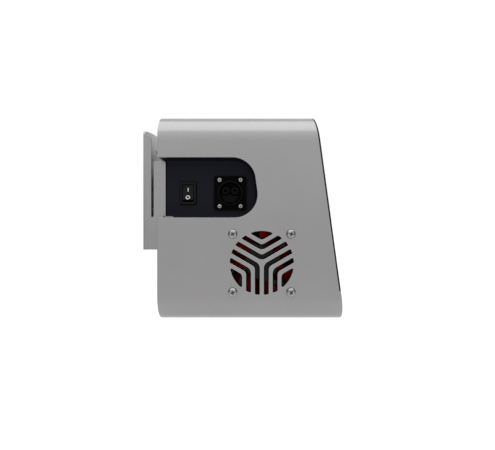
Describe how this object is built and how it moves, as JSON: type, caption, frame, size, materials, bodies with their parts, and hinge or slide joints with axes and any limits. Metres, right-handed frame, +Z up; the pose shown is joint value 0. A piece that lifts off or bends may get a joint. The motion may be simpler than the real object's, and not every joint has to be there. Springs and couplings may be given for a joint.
{
  "type": "sous vide circulator",
  "caption": "Box-shaped sous vide circulator head with a slanted glass front, a side vent fan, recessed panels with a switch, a power inlet and hose barbs, and a rear bracket.",
  "frame": {"origin": "on the flat underside, in the mid-plane and half-way between the bracket's back face and the foot of the front", "axes": "+X towards the slanted front, +Z up, and the side with the switch and the fan faces -Y"},
  "size_m": [0.1787, 0.1531, 0.182],
  "materials": {
    "cover": "satin grey powder coat on folded sheet",
    "dark_panel": "matt blue-black powder coat",
    "black_plastic": "fine moulded texture",
    "front_glass": "polished black glass, opaque",
    "chrome": "polished screw heads",
    "zinc": "zinc-plated sheet and castings",
    "heater_steel": "brushed stainless tube",
    "red_plastic": "dark red moulded blades",
    "board": "green solder mask",
    "brass": "turned brass",
    "hose": "translucent silicone, milky",
    "white_mark": "white moulded-in marks"
  },
  "bodies": {
    "head": {"bracket_screw_1": "chrome", "bracket_screw_2": "chrome", "bracket_screw_3": "chrome", "bracket_screw_4": "chrome", "chassis": "zinc", "control_board": "board", "cover": "cover", "display_module": "front_glass", "fan_frame": "black_plastic", "fan_screw_1": "chrome", "fan_screw_2": "chrome", "fan_screw_3": "chrome", "fan_screw_4": "chrome", "fixing_block_1": "zinc", "fixing_block_2": "zinc", "fixing_block_3": "zinc", "fixing_block_4": "zinc", "front_frame": "black_plastic", "front_glass": "front_glass", "heater_stand": "zinc", "heater_tube": "heater_steel", "hose_barb_inlet": "brass", "hose_barb_outlet": "brass", "hose_panel": "dark_panel", "inlet_contact_1": "brass", "inlet_contact_2": "brass", "inlet_insert": "black_plastic", "inlet_screw_1": "chrome", "inlet_screw_2": "chrome", "inlet_screw_3": "chrome", "inlet_screw_4": "chrome", "inlet_shell": "black_plastic", "intake_hose": "hose", "outlet_hose": "hose", "pump_hose": "hose", "pump_housing": "black_plastic", "pump_lid": "black_plastic", "pump_motor": "zinc", "rear_bracket": "cover", "rear_panel": "cover", "rear_screw_1": "chrome", "rear_screw_2": "chrome", "rear_screw_3": "chrome", "rear_screw_4": "chrome", "supply_board": "board", "supply_capacitor": "black_plastic", "supply_heatsink": "zinc", "supply_transformer": "zinc", "switch_housing": "black_plastic", "switch_panel": "dark_panel", "switch_terminal_1": "brass", "switch_terminal_2": "brass", "temperature_probe": "brass"},
    "rocker": {"switch_rocker": "black_plastic"},
    "fan_rotor": {"fan_impeller": "red_plastic"},
    "pump_rotor": {"pump_impeller": "black_plastic"}
  },
  "joints": [
    {"name": "rocker_tilt", "type": "hinge", "parent": "head", "child": "rocker", "pos_m": [-0.0492, -0.0545, 0.1135], "axis": [1, 0, 0], "range_deg": [0, 24]},
    {"name": "fan_spin", "type": "hinge", "parent": "head", "child": "fan_rotor", "pos_m": [0.0168, -0.065, 0.0523], "axis": [0, 1, 0], "continuous": true},
    {"name": "pump_spin", "type": "hinge", "parent": "head", "child": "pump_rotor", "pos_m": [-0.037, 0.028, 0.038], "axis": [1, 0, 0], "continuous": true}
  ]
}
